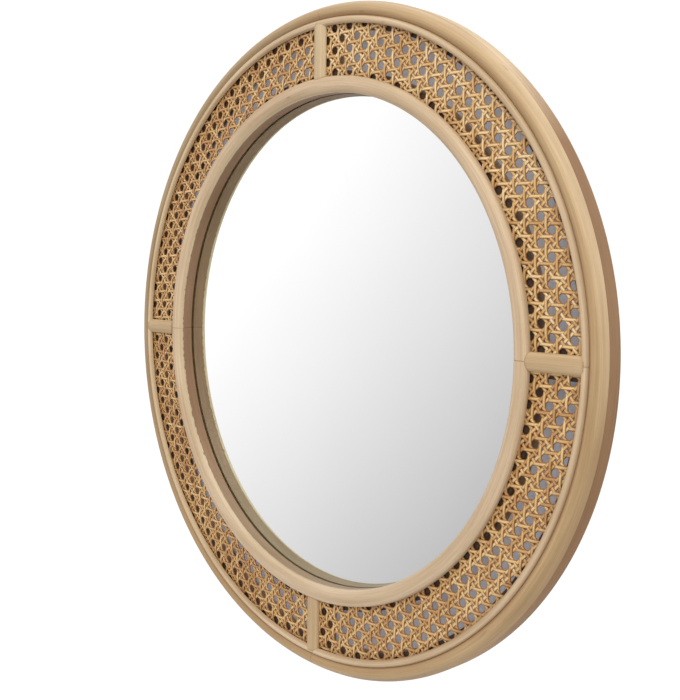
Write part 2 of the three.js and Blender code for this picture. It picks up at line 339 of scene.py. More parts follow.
def cut_side(tree, is_rim):
    """Where the cut side shows, and where it has its second colour.
    On the rim it fades out towards the top and the bottom, where the skin wraps further round.
    On the ring its border is ragged at the left, where the skin tore, and its paler second colour
    low down is painted light."""
    across = object_axis(tree, "X")
    height = object_axis(tree, "Z")
    ragged = calc(tree, "SUBTRACT", grain_noise(tree, 170.0, 0.0, detail=5.0, roughness=0.7), 0.5)
    torn = 0.4 if is_rim else map_range(tree, across, -0.225, -0.195, 2.2, 0.5)
    edge = calc(tree, "MULTIPLY_ADD", ragged, torn, attribute(tree, CUT_NAME))
    border = map_range(tree, edge, 0.36, 0.64)
    if not is_rim:
        return border, map_range(tree, height, -0.12, -0.20)
    sideways = calc(tree, "MULTIPLY_ADD", height, -0.1, calc(tree, "ABSOLUTE", across))
    border = calc(tree, "MULTIPLY", border, map_range(tree, sideways, 0.18, 0.243))
    return border, map_range(tree, calc(tree, "ABSOLUTE", height), 0.02, 0.16)


# %% Rattan material
# The colour of painted shade in grooves, recesses and meeting places, and of the dark stains at joints
SHADE_AND_STAIN_COLOUR = (0.27, 0.135, 0.05, 1)


def rattan(name, main, side_shading_colour, side_shading_turn, cut_colours, is_rim=False):
    """Lacquered rattan with two tones of skin and two colours of bare wood. The second skin tone is painted
    light and shade on one side of the mirror.
    """
    material, tree, shader = new_material(name, {
        "Roughness": 0.52, "Specular IOR Level": 0.28, "Coat Weight": 0.05, "Coat Roughness": 0.4,
    })
    patches = grain_noise(tree, 9.0, 60.0, detail=3.0)
    streaks = grain_noise(tree, 16.0, 1300.0, detail=5.0, roughness=0.65)
    pores = grain_noise(tree, 160.0, 3200.0, detail=2.0)
    cloud = ramp(tree, patches, (0.32, (0.86, 0.83, 0.79, 1)), (0.60, WHITE))

    base = mix_colours(tree, side_shading_share(tree, patches, side_shading_turn), main, side_shading_colour)
    if is_rim:
        base = corner_tone(tree, base)
    skin = peeled_skin(tree, multiply(tree, 1.0, base, cloud), streaks, pores)

    border, second = cut_side(tree, is_rim)
    bare = multiply(tree, 1.0, mix_colours(tree, second, *cut_colours), cloud)
    bare_grain = ramp(tree, streaks, (0.35, (0.70, 0.66, 0.62, 1)), (0.65, WHITE))
    wood = mix_colours(tree, border, skin, multiply(tree, 0.8, bare, bare_grain))

    # Mixes in the painted shade and the joint stains carried by the first attribute
    darkened = mix_colours(tree, attribute(tree, SHADE_AND_STAIN_NAME), wood, SHADE_AND_STAIN_COLOUR)
    feed(tree, shader.inputs["Base Color"], darkened)
    relief = calc(tree, "ADD", streaks, calc(tree, "MULTIPLY", pores, 0.5))
    bump(tree, shader, relief, 0.00025, strength=0.5)
    return material


# The rim's second colour is darker towards the top and the bottom; the ring's, low down, is painted light
RIM_CUTS = ((0.300, 0.156, 0.060, 1), (0.275, 0.122, 0.022, 1))
RING_CUTS = ((0.37, 0.215, 0.125, 1), (0.42, 0.285, 0.18, 1))
# Each kind: main skin tone, a second tone of painted light and shade, the turn of its side, and the bare
# wood's colours
rim_rattan = rattan("Rim rattan", (0.61, 0.43, 0.235, 1), (0.53, 0.405, 0.245, 1), 155, RIM_CUTS, is_rim=True)
bead_rattan = rattan("Bead rattan", (0.74, 0.57, 0.375, 1), (0.84, 0.66, 0.43, 1), 180, RING_CUTS)
ring_rattan = rattan("Ring rattan", (0.75, 0.575, 0.385, 1), (0.77, 0.61, 0.43, 1), 270, RING_CUTS)
rod_rattan = rattan("Rod rattan", (0.69, 0.51, 0.305, 1), (0.77, 0.61, 0.39, 1), 90, RING_CUTS)
print("kinds of rattan:", [kind.name for kind in (rim_rattan, bead_rattan, ring_rattan, rod_rattan)])

# %% [markdown]
# ## A bent rod as a mesh
#
# A bent rod is one section swept round the centre. The section is a list of points, each with a
# radius, a depth, how stained it is, and whether it is skin or a cut side. The sweep moves every
# copy of the section in or out a little, because a steamed rod is never a perfect circle, and it
# draws the last copies in, so that two rods that meet end to end show a fine joint.
# Grid faces keep the UV map simple.

# %% Sections
def arc(centre, reach, start, end, steps):
    """Points along an elliptical arc, with angles in degrees"""
    points = []
    for i in range(steps + 1):
        angle = math.radians(start + (end - start) * i / steps)
        points.append((centre[0] + reach[0] * math.cos(angle), centre[1] + reach[1] * math.sin(angle)))
    return points


def fall(crest, end, power, steps):
    """Points that fall away from a crest, closer together where it falls faster"""
    points = []
    for i in range(1, steps + 1):
        t = math.sqrt(i / steps)
        points.append((crest[0] + (end[0] - crest[0]) * t, crest[1] + (end[1] - crest[1]) * t**power))
    return points


def ramp_value(value, start, end):
    """0 at start, 1 at end, and smooth between them"""
    t = min(1.0, max(0.0, (value - start) / (end - start)))
    return t * t * (3 - 2 * t)


# %% Meshes from rows of points
def grid_faces(rows):
    """The faces and the UVs of a closed mesh from copies of one section, with a cap at each end"""
    across = len(rows[0][1])
    middle = rows[len(rows) // 2][1]
    lengths = [0.0]
    for i in range(across):
        lengths.append(lengths[-1] + (middle[(i + 1) % across][0] - middle[i][0]).length)
    faces = []
    uvs = []
    for r in range(len(rows) - 1):
        for i in range(across):
            j = (i + 1) % across
            faces.append((r * across + i, r * across + j, (r + 1) * across + j, (r + 1) * across + i))
            u, next_u = rows[r][0], rows[r + 1][0]
            uvs += [(u, lengths[i]), (u, lengths[i + 1]), (next_u, lengths[i + 1]), (next_u, lengths[i])]
    for r in (0, len(rows) - 1):
        faces.append(tuple(r * across + i for i in range(across)))
        uvs += [(rows[r][0], lengths[i]) for i in range(across)]
    return faces, uvs


def add_object(name, mesh):
    thing = bpy.data.objects.new(name, mesh)
    bpy.context.scene.collection.objects.link(thing)
    return thing


def grid_mesh(name, rows, material):
    """A closed mesh with UVs in metres and two painted attributes.
    Each row is (distance along the rod, [(point, darkening, cut), ...]), where the darkening holds painted
    shade and joint stains."""
    faces, uvs = grid_faces(rows)
    spots = [spot for _, row in rows for spot in row]
    mesh = bpy.data.meshes.new(name)
    mesh.from_pydata([tuple(spot[0]) for spot in spots], [], faces)
    layer = mesh.uv_layers.new(name=UV_NAME)
    layer.data.foreach_set("uv", [value for uv in uvs for value in uv])
    for number, painted in ((1, SHADE_AND_STAIN_NAME), (2, CUT_NAME)):
        values = mesh.attributes.new(painted, "FLOAT", "POINT")
        values.data.foreach_set("value", [spot[number] for spot in spots])
    shape = bmesh.new()
    shape.from_mesh(mesh)
    bmesh.ops.recalc_face_normals(shape, faces=shape.faces)
    shape.to_mesh(mesh)
    shape.free()
    mesh.shade_smooth()
    mesh.set_sharp_from_angle(angle=math.radians(38))
    mesh.materials.append(material)
    return add_object(name, mesh)


# %% Sweep a section round the centre
END_GAP = 0.07 * MM
END_EASE = 0.28 * MM
END_STAIN = 0.5


def irregular(turn, amount, seed):
    """A small offset that varies slowly round the mirror, and closes after a full turn"""
    angle = math.radians(turn)
    slow = noise.noise(Vector((2.5 * math.cos(angle), 2.5 * math.sin(angle), seed)))
    quick = noise.noise(Vector((11.0 * math.cos(angle), 11.0 * math.sin(angle), seed + 7.0)))
    return amount * (slow + 0.35 * quick)


def bent_rod(name, section, turns, spacing, material, wander=0.15 * MM, seed=1.0, shape_point=None):
    """Sweeps a section of (radius, depth, darkening, cut) from one turn to another, in degrees. The darkening
    holds painted shade and joint stains.
    """
    reach = max(point[0] for point in section)
    gap = math.degrees(END_GAP / reach)
    ease = math.degrees(END_EASE / reach)
    start, end = turns[0] + gap, turns[1] - gap
    steps = round(math.radians(end - start) * reach / spacing)
    places = [start] + [start + ease + (end - start - 2 * ease) * i / steps for i in range(steps + 1)] + [end]
    middle_radius = sum(point[0] for point in section) / len(section)
    middle_depth = sum(point[1] for point in section) / len(section)
    rows = []
    for index, turn in enumerate(places):
        at_end = index in (0, len(places) - 1)
        angle = math.radians(turn)
        drift = irregular(turn, wander, seed)
        row = []
        for radius, depth, stain, cut in section:
            if shape_point is not None:
                radius, depth = shape_point(turn, radius, depth)
            if at_end:
                inward = Vector((middle_radius - radius, middle_depth - depth)).normalized()
                radius += inward.x * END_EASE
                depth += inward.y * END_EASE
                stain = max(stain, END_STAIN)
            point = Vector(((radius + drift) * math.cos(angle), -depth, (radius + drift) * math.sin(angle)))
            row.append((point, stain, cut))
        rows.append((angle * reach, row))
    return grid_mesh(name, rows, material)


def dress(piece, node):
    """A piece that stands for one CAD node, on the mirror's only body"""
    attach(piece, BODY)
    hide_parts(node)
    print(piece.name, "has", len(piece.data.polygons), "faces")


# %% [markdown]
# ## The outer rim
#
# The rim is a thick rod with a flat back and a flat side, and its front swells gently from the
# rounded outer corner down to the groove beside the bead. It was bent as two half-hoops, and
# the joints are at the top and at the bottom. Its side is the cut one.

# %% Outer rim
RIM_EASE = 0.5 * MM
RIM_SEED = 2.0
GROOVE_SHADE = 0.35
BACK_DARKENING = 0.2


def rim_section():
    crest = (RIM_RADIUS - RIM_CORNER_REACH, RIM_DEPTH)
    shoulder = (RIM_RADIUS - 0.15 * MM, RIM_SIDE_DEPTH + 0.15 * MM)
    groove = (RIM_INNER_RADIUS + 0.3 * MM, RIM_GROOVE_DEPTH)
    outline = [
        (RIM_INNER_RADIUS, 0.4 * MM),
        (RIM_INNER_RADIUS + 0.4 * MM, 0.0),
        (RIM_RADIUS - RIM_EASE, 0.0),
        (RIM_RADIUS, RIM_EASE),
        (RIM_RADIUS, 8.0 * MM),
        (RIM_RADIUS, RIM_SIDE_DEPTH - 0.5 * MM),
        (RIM_RADIUS, RIM_SIDE_DEPTH - 0.15 * MM),
        *reversed(fall(crest, shoulder, 1.9, 12)),
        crest,
        *fall(crest, groove, 2.0, 9),
        (RIM_INNER_RADIUS, RIM_GROOVE_DEPTH - 0.5 * MM),
        (RIM_INNER_RADIUS, RIM_GROOVE_FOOT),
    ]
    section = []
    for radius, depth in outline:
        # Painted shade darkens the front towards the groove; the back and the lower inner side are a little
        # darker
        near_groove = GROOVE_SHADE * ramp_value(radius, RIM_INNER_RADIUS + 7.0 * MM, RIM_INNER_RADIUS)
        on_side = radius > RIM_RADIUS - 1.0 * MM and depth < RIM_SIDE_DEPTH
        stain = near_groove if depth > RIM_GROOVE_FOOT else BACK_DARKENING
        section.append((radius, depth, 0.0 if on_side else stain, 1.0 if on_side else 0.0))
    return section


for side, turns in (("right", (-90, 90)), ("left", (90, 270))):
    rim_half = bent_rod(f"Outer_rim_{side}", rim_section(), turns, 3.0 * MM, rim_rattan, seed=RIM_SEED)
    dress(rim_half, f"outer_rim_{side}")

# %% [markdown]
# ## The bead
#
# A thin half-round strip hides the edge of the cane. It is one length, bent all the way
# round, and its two ends meet at the right, in line with the rod there. It wavers in and out
# with the rim, and reaches a little into it, so that no gap opens between the two.

# %% Bead
BEAD_RIM_LAP = 0.3 * MM
BEAD_CANE_LAP = 0.4 * MM


def bead_section():
    reach = BEAD_WIDTH / 2 + BEAD_RIM_LAP
    outer_centre = (BEAD_MIDDLE_RADIUS, BEAD_OUTER_SHOULDER)
    outer_reach = (reach, BEAD_CREST_DEPTH - BEAD_OUTER_SHOULDER)
    inner_centre = (BEAD_MIDDLE_RADIUS, BEAD_SHOULDER_DEPTH)
    inner_reach = (reach + BEAD_CANE_LAP, BEAD_CREST_DEPTH - BEAD_SHOULDER_DEPTH)
    outline = [
        (BEAD_INNER_RADIUS, WEAVE_FRONT_DEPTH),
        (BEAD_OUTER_RADIUS, WEAVE_FRONT_DEPTH),
        *arc(outer_centre, outer_reach, 0, 90, 8),
        *arc(inner_centre, inner_reach, 90, 180, 8)[1:],
    ]
    section = []
    for radius, depth in outline:
        # Painted shade beside the rim's groove and beside the cane
        by_rim = GROOVE_SHADE * ramp_value(radius, BEAD_MIDDLE_RADIUS + 0.8 * MM, BEAD_OUTER_RADIUS)
        by_cane = 0.3 * ramp_value(radius, BEAD_MIDDLE_RADIUS - 1.0 * MM, BEAD_INNER_RADIUS)
        section.append((radius, depth, max(by_rim, by_cane), 0.0))
    return section


bead = bent_rod("Bead_strip", bead_section(), (0, 360), 3.0 * MM, bead_rattan, seed=RIM_SEED)
dress(bead, "bead")

# %% [markdown]
# ## The inner ring
#
# The ring round the glass is broader. Its lip laps over the cane, and its front stays full almost
# to the opening, where it turns over a rounded nose. Below the nose a darker cut wall runs back to
# the glass. The nose was trimmed by hand, so its lower edge is a little ragged: short chips are
# taken out of it, worked out from noise along the ring, and most of them are at the left. The
# wall stops just short of the glass, which leaves the thin dark line that is seen there, once
# directly and once in the mirror, and painted shade darkens the recess behind that line.
# Painted shade also darkens the lip where it meets the cane.

# %% Inner ring
CHIP_DEPTH = 1.6 * MM
CHIP_REACH = 3.0 * MM
TORN_TURN = 188
GLASS_LINE = 1.5 * MM
# The underside of the nose, as steps outward from the opening and forward from the cap, in mm
NOSE_UNDERSIDE = ((-0.1, 1.0), (-0.1, 0.5), (0.0, 0.0), (0.2, -0.5), (0.3, -1.0), (0.35, -1.5))


def ring_outline(line_depth, foot):
    flank = (RING_CREST_RADIUS, WEAVE_FRONT_DEPTH)
    crest = (RING_CREST_RADIUS, RING_CREST_DEPTH)
    nose = (RING_OPENING_RADIUS, RING_EDGE_DEPTH)
    return [
        (RING_REBATE_RADIUS, 0.2 * MM),
        (RING_REBATE_RADIUS + 0.3 * MM, 0.0),
        (RING_BODY_RADIUS - 0.3 * MM, 0.0),
        (RING_BODY_RADIUS, 0.3 * MM),
        (RING_BODY_RADIUS, WEAVE_FRONT_DEPTH),
        *arc(flank, (RING_FLANK_REACH, RING_CREST_DEPTH - WEAVE_FRONT_DEPTH), 0, 90, 12),
        *fall(crest, nose, 4.0, 14),
        *[(RING_OPENING_RADIUS + out * MM, RING_CAP_DEPTH + rise * MM) for out, rise in NOSE_UNDERSIDE],
        (RING_OPENING_RADIUS + 0.55 * MM, (RING_CAP_DEPTH + GLASS_FRONT_DEPTH) / 2),
        (foot, line_depth),
        (foot + 3.0 * MM, line_depth),
        (foot + 3.2 * MM, GLASS_FRONT_DEPTH),
        (RING_REBATE_RADIUS, GLASS_FRONT_DEPTH),
    ]


def ring_section():
    line_depth = GLASS_FRONT_DEPTH + GLASS_LINE
    foot = RING_OPENING_RADIUS + RING_WALL_TAPER
    section = []
    for radius, depth in ring_outline(line_depth, foot):
        # Painted shade fills the recess behind the dark line at the glass, and darkens the lip beside the
        # cane
        in_recess = depth <= line_depth and foot < radius < RING_REBATE_RADIUS + 0.1 * MM
        on_wall = radius < RING_REBATE_RADIUS - 1.0 * MM
        cut = ramp_value(depth, RING_CAP_DEPTH + 1.6 * MM, RING_CAP_DEPTH - 1.6 * MM) if on_wall else 0.0
        near_cane = 0.35 * ramp_value(radius, RING_LIP_RADIUS - 0.9 * MM, RING_LIP_RADIUS)
        section.append((radius, depth, 1.0 if in_recess else near_cane, cut))
    return section


def chip_edge(turn, radius, depth):
    """Takes small chips out of the lower edge of the nose"""
    off_edge = abs(depth - RING_CAP_DEPTH) + abs(radius - RING_OPENING_RADIUS)
    nearness = 1.0 - ramp_value(off_edge, 0.5 * MM, CHIP_REACH)
    if nearness <= 0.0 or radius > RING_OPENING_RADIUS + 2.5 * MM:
        return radius, depth
    angle = math.radians(turn)
    place = Vector((math.cos(angle), math.sin(angle), 0.0)) * 50.0
    rough = noise.noise(place) + 0.6 * noise.noise(place * 2.7)
    torn = 0.25 + 0.75 * ramp_value(abs(turn - TORN_TURN), 50, 20)
    chip = torn * nearness * max(0.0, rough)
    return radius + 0.4 * CHIP_DEPTH * chip, depth + CHIP_DEPTH * chip


for half, turns in (("upper", (0, 180)), ("lower", (180, 360))):
    ring_half = bent_rod(f"Inner_ring_{half}", ring_section(), turns, 1.8 * MM, ring_rattan,
                         wander=0.12 * MM, seed=9.0, shape_point=chip_edge)
    dress(ring_half, f"inner_ring_{half}")

# %% [markdown]
# ## The rods across the cane
#
# Four rods hide the joints between the cane panels. Their section is a little fuller than half
# a circle. Their ends are scribed: each point of the section stops where it meets the curved
# side of the ring or of the bead at its own height. So a straight sweep is used, with a
# different start and end for each point. Painted shade darkens their feet and their ends, most
# of all where the left rod meets the ring.

# %% Where the rods stop
FIT_GAP = 0.1 * MM


def ring_side(depth):
    """How far out the ring reaches at a depth in front of the cane"""
    share = min(1.0, (depth - WEAVE_FRONT_DEPTH) / (RING_CREST_DEPTH - WEAVE_FRONT_DEPTH))
    return RING_CREST_RADIUS + RING_FLANK_REACH * math.sqrt(1 - share * share) + FIT_GAP


def bead_side(depth):
    """How far in the bead reaches at a depth in front of the cane"""
    share = max(0.0, depth - BEAD_SHOULDER_DEPTH) / (BEAD_CREST_DEPTH - BEAD_SHOULDER_DEPTH)
    return BEAD_MIDDLE_RADIUS - BEAD_WIDTH / 2 * math.sqrt(max(0.0, 1 - share * share)) - FIT_GAP


# %% Rods
ROD_TURNS = {"right": 0, "top": 90, "left": 180, "bottom": 270}
ROD_ROWS = 28
ROD_STEPS = 20
ROD_FULLNESS = 0.72
# Painted shade at the feet and ends of the rods, and a darker painted shadow at the left rod's ring end
JOINT_SHADE = 0.4
OPEN_JOINT_SHADE = 0.95


def radial_piece(name, section, turn, material, wander=0.0, seed=1.0, ring_stain=JOINT_SHADE):
    """A straight piece along one radius. Each section point is (offset, depth, start, end, darkening,
    cut), where start and end are radii. Painted shade is added at both ends, and a darker one at the ring
    also reaches further."""
    angle = math.radians(turn)
    outward = Vector((math.cos(angle), 0.0, math.sin(angle)))
    sideways = Vector((-math.sin(angle), 0.0, math.cos(angle)))
    grain_start, grain_end = section[0][2:4]
    rows = []
    for r in range(ROD_ROWS + 1):
        share = r / ROD_ROWS
        row = []
        for offset, depth, start, end, stain, cut in section:
            first = math.sqrt(start * start - offset * offset)
            last = math.sqrt(end * end - offset * offset)
            along = first + (last - first) * share
            bend = wander * noise.noise(Vector((along * 60.0, seed, turn)))
            point = outward * along + sideways * (offset + bend) + Vector((0.0, -depth, 0.0))
            at_ring = ring_stain * ramp_value(along - first, 4 * ring_stain * MM, 0.0)
            at_bead = JOINT_SHADE * ramp_value(last - along, 1.6 * MM, 0.0)
            row.append((point, max(stain, at_ring, at_bead), cut))
        rows.append((grain_start + share * (grain_end - grain_start), row))
    return grid_mesh(name, rows, material)


def rod_section():
    outline = []
    for i in range(ROD_STEPS + 1):
        angle = math.pi * i / ROD_STEPS
        height = SPOKE_HEIGHT * math.sin(angle)**ROD_FULLNESS
        outline.append((SPOKE_WIDTH / 2 * math.cos(angle), WEAVE_FRONT_DEPTH + height))
    outline += [(offset, WEAVE_FRONT_DEPTH) for offset in (-SPOKE_WIDTH / 4, 0.0, SPOKE_WIDTH / 4)]
    section = []
    for offset, depth in outline:
        foot = JOINT_SHADE * ramp_value(depth, WEAVE_FRONT_DEPTH + 1.2 * MM, WEAVE_FRONT_DEPTH)
        section.append((offset, depth, ring_side(depth), bead_side(depth), foot, 0.0))
    return section


for place, turn in ROD_TURNS.items():
    rod = radial_piece(f"Rod_{place}", rod_section(), turn, rod_rattan, wander=0.15 * MM, seed=3.0,
                       ring_stain=OPEN_JOINT_SHADE if place == "left" else JOINT_SHADE)
    dress(rod, f"spoke_{place}")

# %% [markdown]
# ## Cane
#
# The cane is the shiny outer skin of the rattan vine, split into strands about 3 mm wide. Their
# edges are darker, partly as the colour of the cut edge and partly as painted shade for the gaps
# between strands. Every strand has its own tone, so the weave below gives each one a random
# value in an attribute. Two more attributes say how far a point lies along its strand and
# across it, which lets fine fibres follow every strand wherever it goes.

# %% Cane material
STRAND_WIDTH = 3.15 * MM
STRAND_THICKNESS = 1.3 * MM
STRAND_NAME = "strand"
ALONG_NAME = "along"
ACROSS_NAME = "across"
BORDER_DARK_COLOUR = (0.30, 0.135, 0.035, 1)


def cane_material():
    material, tree, shader = new_material("Cane", {
        "Roughness": 0.45, "Specular IOR Level": 0.35, "Coat Weight": 0.2, "Coat Roughness": 0.25,
    })
    tone = attribute(tree, STRAND_NAME)
    across = attribute(tree, ACROSS_NAME)
    stretched = [(attribute(tree, ALONG_NAME), 70.0), (across, 3000.0), (tone, 50.0)]
    place = combine(tree, *[calc(tree, "MULTIPLY", value, scale) for value, scale in stretched])
    fibre = noise_node(tree, place, detail=4.0, roughness=0.6)
    off_mean = calc(tree, "SUBTRACT", fibre, 0.5)
    base = ramp(tree, calc(tree, "MULTIPLY_ADD", off_mean, 1.1, tone),
                (0.0, (0.54, 0.29, 0.10, 1)), (0.35, (0.70, 0.44, 0.175, 1)),
                (0.70, (0.82, 0.57, 0.265, 1)), (1.0, (0.88, 0.67, 0.38, 1)))

    # The two edges of each strand are darker, partly as the cut edge's colour and partly as painted shade for
    # the gaps
    off_middle = calc(tree, "DIVIDE", calc(tree, "ABSOLUTE", across), STRAND_WIDTH / 2)
    edge = ramp(tree, off_middle, (0.34, WHITE), (0.80, (0.38, 0.25, 0.12, 1)))

    # The cane is darker beside the bead and beside the ring
    radius = calc(tree, "MULTIPLY_ADD", off_mean, 0.006, centre_distance(tree))
    by_bead = map_range(tree, radius, BEAD_INNER_RADIUS - 7.0 * MM, BEAD_INNER_RADIUS, 0.0, 0.6)
    by_ring = map_range(tree, radius, RING_LIP_RADIUS + 6.0 * MM, RING_LIP_RADIUS, 0.0, 0.4)
    darkened = mix_colours(tree, calc(tree, "MAXIMUM", by_bead, by_ring), base, BORDER_DARK_COLOUR)
    feed(tree, shader.inputs["Base Color"], multiply(tree, 1.0, darkened, edge))
    bump(tree, shader, fibre, 0.0002, strength=0.4)
    return material


cane = cane_material()

# %% [markdown]
# ## The weave
#
# Chair cane is woven six ways. Here pairs of strands run along both diagonals and single
# strands run level and upright between the holes. All of it follows one lattice: p counts
# half-spacings along a row of holes and q counts them up a column, and there is a hole
# wherever p + q is even.
#
# - Level strands lie at q = 0.5, 1.5 and so on, and upright ones at p = 0.5, 1.5 and so on.
# - A rising pair lies about each odd p - q, and a falling pair about each odd p + q.
# - The pairs cross in plain weave. Level strands pass over the falling pairs and under the
#   rising ones, and upright strands do the opposite.
#
# That rule is short enough for nodes. One group draws all strands of a family as lines of
# points, with the height worked out from p and q. The panel's tree joins six families, trims
# them to the quarter ring, and sweeps a flat strand with a rounded top along every line.

# %% Geometry helpers
NUMBER, VECTOR, WHOLE = "NodeSocketFloat", "NodeSocketVector", "NodeSocketInt"


def group_sockets(tree, inputs, output):
    """Inputs as (kind, [names]), and one output for the geometry"""
    for kind, names in inputs:
        for name in names:
            tree.interface.new_socket(name=name, in_out="INPUT", socket_type=kind)
    tree.interface.new_socket(name=output, in_out="OUTPUT", socket_type="NodeSocketGeometry")


def shape_node(tree, kind, geometry, inputs=None, **settings):
    """A node that changes geometry, with its other inputs by name, and the geometry it gives"""
    node = add_node(tree, kind, **settings)
    feed(tree, node.inputs[0], geometry)
    for name, value in (inputs or {}).items():
        feed(tree, node.inputs[name], value)
    return node.outputs[0]


def store(tree, geometry, name, value):
    """Stores a number on every point, for the material to read"""
    return shape_node(tree, "GeometryNodeStoreNamedAttribute", geometry, {"Name": name, "Value": value},
                      data_type="FLOAT", domain="POINT")


def random_value(tree, low, high, line, seed):
    """One random number for each line of points"""
    node = add_node(tree, "FunctionNodeRandomValue", data_type="FLOAT")
    for socket, value in ((2, low), (3, high), ("ID", line), ("Seed", seed)):
        feed(tree, node.inputs[socket], value)
    return node.outputs[1]


# %% One family of strands, as a node group
def lattice_place(tree, given, line, step):
    """The p and q of each point, and how far along its line it lies.
    Every line is a little off its true place."""
    shift = random_value(tree, calc(tree, "MULTIPLY", given["Wander"], -1.0), given["Wander"],
                         line, given["Seed"])
    even = calc(tree, "MULTIPLY_ADD", line, given["Line Step"], given["First Line"])
    run = calc(tree, "MULTIPLY_ADD", step, given["Run Step"], given["Run Start"])
    across_part = vector_calc(tree, "SCALE", given["Line Direction"], calc(tree, "ADD", even, shift))
    run_part = vector_calc(tree, "SCALE", given["Run Direction"], run)
    p, q, _ = split(tree, vector_calc(tree, "ADD", across_part, run_part))
    return p, q, run


def strand_height(tree, given, p, q, run):
    """The height above or below the middle of the weave"""
    swing = calc(tree, "COSINE", calc(tree, "MULTIPLY", calc(tree, "SUBTRACT", p, q), math.pi))
    from_crossing = calc(tree, "WRAP", calc(tree, "SUBTRACT", run, 1.0), 1.0, -1.0)
    share = calc(tree, "DIVIDE", from_crossing, calc(tree, "MULTIPLY", given["Pair Spread"], 2.0))
    bounded = calc(tree, "MAXIMUM", calc(tree, "MINIMUM", share, 1.0), -1.0)
    twist = calc(tree, "SINE", calc(tree, "MULTIPLY", bounded, math.pi))
    pair_height = calc(tree, "MULTIPLY", twist, given["Pair Lift"])
    return calc(tree, "MULTIPLY_ADD", swing, given["Single Lift"], pair_height)


def strand_family_group():
    tree = bpy.data.node_groups.new("Strand family", "GeometryNodeTree")
    group_sockets(tree, [
        (VECTOR, ["Hole", "Row", "Column", "Line Direction", "Run Direction"]),
        (NUMBER, ["First Line", "Line Step", "Run Start", "Run Step"]),
        (NUMBER, ["Single Lift", "Pair Lift", "Pair Spread", "Wander", "Tone"]),
        (WHOLE, ["Lines", "Run Points", "Seed"]),
    ], "Lines")
    given = add_node(tree, "NodeGroupInput").outputs
    index = add_node(tree, "GeometryNodeInputIndex").outputs[0]
    line = calc(tree, "FLOOR", calc(tree, "DIVIDE", calc(tree, "ADD", index, 0.5), given["Run Points"]))
    step = calc(tree, "SUBTRACT", index, calc(tree, "MULTIPLY", line, given["Run Points"]))
    p, q, run = lattice_place(tree, given, line, step)
    row_part = vector_calc(tree, "SCALE", given["Row"], p)
    column_part = vector_calc(tree, "SCALE", given["Column"], q)
    flat = vector_calc(tree, "ADD", given["Hole"], vector_calc(tree, "ADD", row_part, column_part))
    rise = combine(tree, 0.0, 0.0, strand_height(tree, given, p, q, run))

    points = add_node(tree, "GeometryNodeMeshLine", mode="OFFSET")
    feed(tree, points.inputs["Count"], calc(tree, "MULTIPLY", given["Lines"], given["Run Points"]))
    tone = random_value(tree, 0.0, 1.0, line, calc(tree, "ADD", given["Seed"], 100.0))
    toned = store(tree, points.outputs[0], STRAND_NAME, calc(tree, "ADD", tone, given["Tone"]))
    placed = shape_node(tree, "GeometryNodeSetPosition", toned,
                        {"Position": vector_calc(tree, "ADD", flat, rise)})

    # The point line is one long chain, so the edges that jump to the next strand are cut
    beyond = calc(tree, "MODULO", calc(tree, "ADD", index, 1.0), given["Run Points"])
    cut = shape_node(tree, "GeometryNodeDeleteGeometry", placed,
                     {"Selection": calc(tree, "LESS_THAN", beyond, 0.5)}, domain="EDGE", mode="EDGE_FACE")
    feed(tree, add_node(tree, "NodeGroupOutput").inputs[0], cut)
    return tree


strand_family = strand_family_group()
print("the strand family group has", len(strand_family.nodes), "nodes")

# %% The families of one panel
# Each family: name, first line, line step, where a line lies, where it runs, run step,
# and the share of the single lift and of the pair lift that it takes
LATTICE_REACH = 32
PAIR_SPREAD = 0.30
SINGLE_STEP = 0.25
PAIR_STEP = 0.2
SHARED_INPUTS = ("Hole", "Row", "Column", "Pair Spread", "Wander", "Tone")
FAMILIES = [
    ("Level", 0.5, 1.0, (0, 1, 0), (1, 0, 0), SINGLE_STEP, 1, 0),
    ("Upright", 0.5, 1.0, (1, 0, 0), (0, 1, 0), SINGLE_STEP, -1, 0),
    ("Rising upper", 1 + PAIR_SPREAD, 2.0, (0.5, -0.5, 0), (0.5, 0.5, 0), PAIR_STEP, 0, 1),
    ("Rising lower", 1 - PAIR_SPREAD, 2.0, (0.5, -0.5, 0), (0.5, 0.5, 0), PAIR_STEP, 0, -1),
    ("Falling upper", 1 + PAIR_SPREAD, 2.0, (0.5, 0.5, 0), (0.5, -0.5, 0), PAIR_STEP, 0, -1),
    ("Falling lower", 1 - PAIR_SPREAD, 2.0, (0.5, 0.5, 0), (0.5, -0.5, 0), PAIR_STEP, 0, 1),
]


def join_families(tree, given):
    """Adds one strand family node for each family, and joins their lines"""
    join = add_node(tree, "GeometryNodeJoinGeometry")
    for number, family in enumerate(FAMILIES):
        name, first, line_step, line_direction, run_direction, run_step, single, pair = family
        half = 2 * LATTICE_REACH if pair else LATTICE_REACH
        node = add_node(tree, "GeometryNodeGroup", node_tree=strand_family, label=name)
        values = {shared: given[shared] for shared in SHARED_INPUTS}
        values.update({
            "First Line": first - half,
            "Line Step": line_step,
            "Lines": round(2 * half / line_step),
            "Line Direction": line_direction,
            "Run Start": -half,
            "Run Step": run_step,
            "Run Points": round(2 * half / run_step) + 1,
            "Run Direction": run_direction,
            "Single Lift": calc(tree, "MULTIPLY", given["Single Lift"], single),
            "Pair Lift": calc(tree, "MULTIPLY", given["Pair Lift"], pair),
            "Seed": calc(tree, "ADD", given["Seed"], float(number)),
        })
        for socket, value in values.items():
            feed(tree, node.inputs[socket], value)
        tree.links.new(node.outputs[0], join.inputs[0])
    return join.outputs[0]


